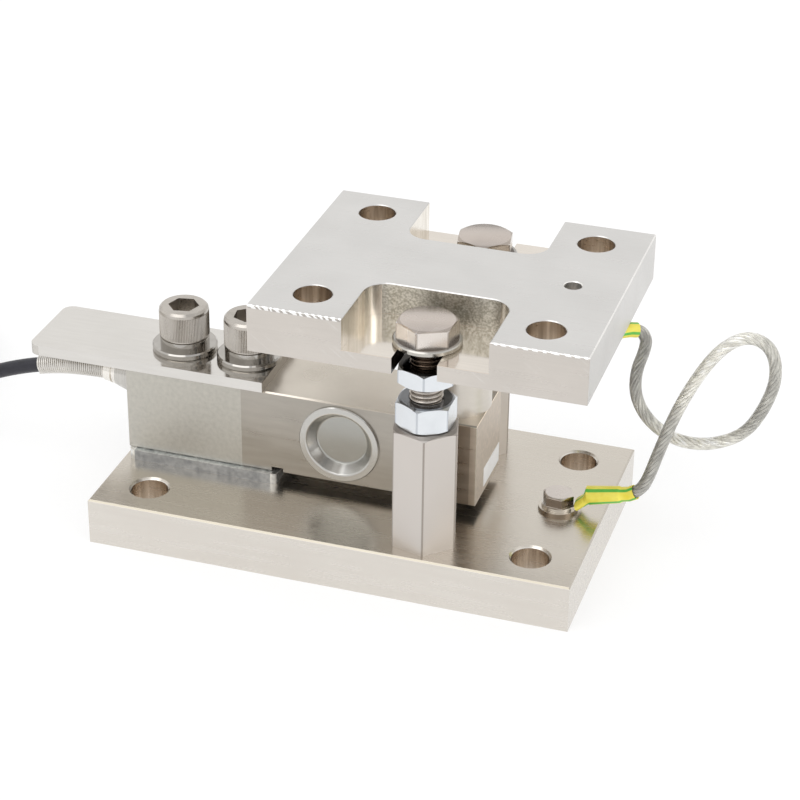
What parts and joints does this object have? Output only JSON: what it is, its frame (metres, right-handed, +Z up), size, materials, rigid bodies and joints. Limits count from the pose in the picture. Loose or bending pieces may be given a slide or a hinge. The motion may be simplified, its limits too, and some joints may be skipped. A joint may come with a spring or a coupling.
{
  "type": "tank weighing module",
  "caption": "Shear-beam load cell clamped on a base plate, carrying a pocketed top plate on a ball, with hold-down bolts, ground strap and signal cable.",
  "frame": {"origin": "centre of the base plate's underside", "axes": "+X along the load cell from its cable end to its load end, +Z up, from the base plate to the top plate"},
  "size_m": [0.4245, 0.1353, 0.1077],
  "materials": {
    "nickel_plate": "nickel plated, finely ground",
    "zinc_spacer": "mottled zinc",
    "cell_steel": "satin nickel plating",
    "cup_steel": "pressed stainless sheet",
    "gauge_foil": "amber backing under cover coat",
    "blank_label": "bare white film",
    "guard_steel": "satin nickel plating",
    "washer_steel": "bright, turned",
    "stainless": "plain stainless",
    "ground_steel": "ground and hardened",
    "bright_zinc": "bright zinc plating",
    "standoff_nickel": "nickel plated bar",
    "gland_nickel": "nickel plated, turned",
    "spring_steel": "close-wound wire",
    "cable_sheath": "black sheath",
    "tie_plastic": "black strap",
    "core_insulation": "insulated cores",
    "tinned_lug": "tinned copper",
    "heat_shrink": "yellow with green stripes",
    "copper_rope": "tinned copper rope in a clear jacket"
  },
  "bodies": {
    "root": {"base_plate": "nickel_plate", "top_plate": "nickel_plate", "spacer_plate": "zinc_spacer", "load_cell_body": "cell_steel", "gauge_cup_front": "cup_steel", "gauge_cup_rear": "cup_steel", "strain_gauge_front": "gauge_foil", "strain_gauge_rear": "gauge_foil", "end_label": "blank_label", "cable_guard_plate": "guard_steel", "mounting_flat_washers": "washer_steel", "mounting_spring_washers": "washer_steel", "mounting_screws": "stainless", "load_seat": "ground_steel", "load_ball": "ground_steel", "upper_cup": "ground_steel", "hold_down_bolts": "stainless", "hold_down_washers": "washer_steel", "jack_nuts": "bright_zinc", "lock_nuts": "bright_zinc", "hex_standoffs": "standoff_nickel", "cable_gland": "gland_nickel", "strain_relief_spring": "spring_steel", "signal_cable": "cable_sheath", "signal_cable_coil": "cable_sheath", "coil_ties": "tie_plastic", "cable_cores": "core_insulation", "ground_screw_base": "stainless", "ground_screw_top": "stainless", "ground_washer_base": "washer_steel", "ground_washer_top": "washer_steel", "ground_lug_base": "tinned_lug", "ground_lug_top": "tinned_lug", "ground_sleeve_base": "heat_shrink", "ground_sleeve_top": "heat_shrink", "ground_strap": "copper_rope"}
  },
  "joints": []
}
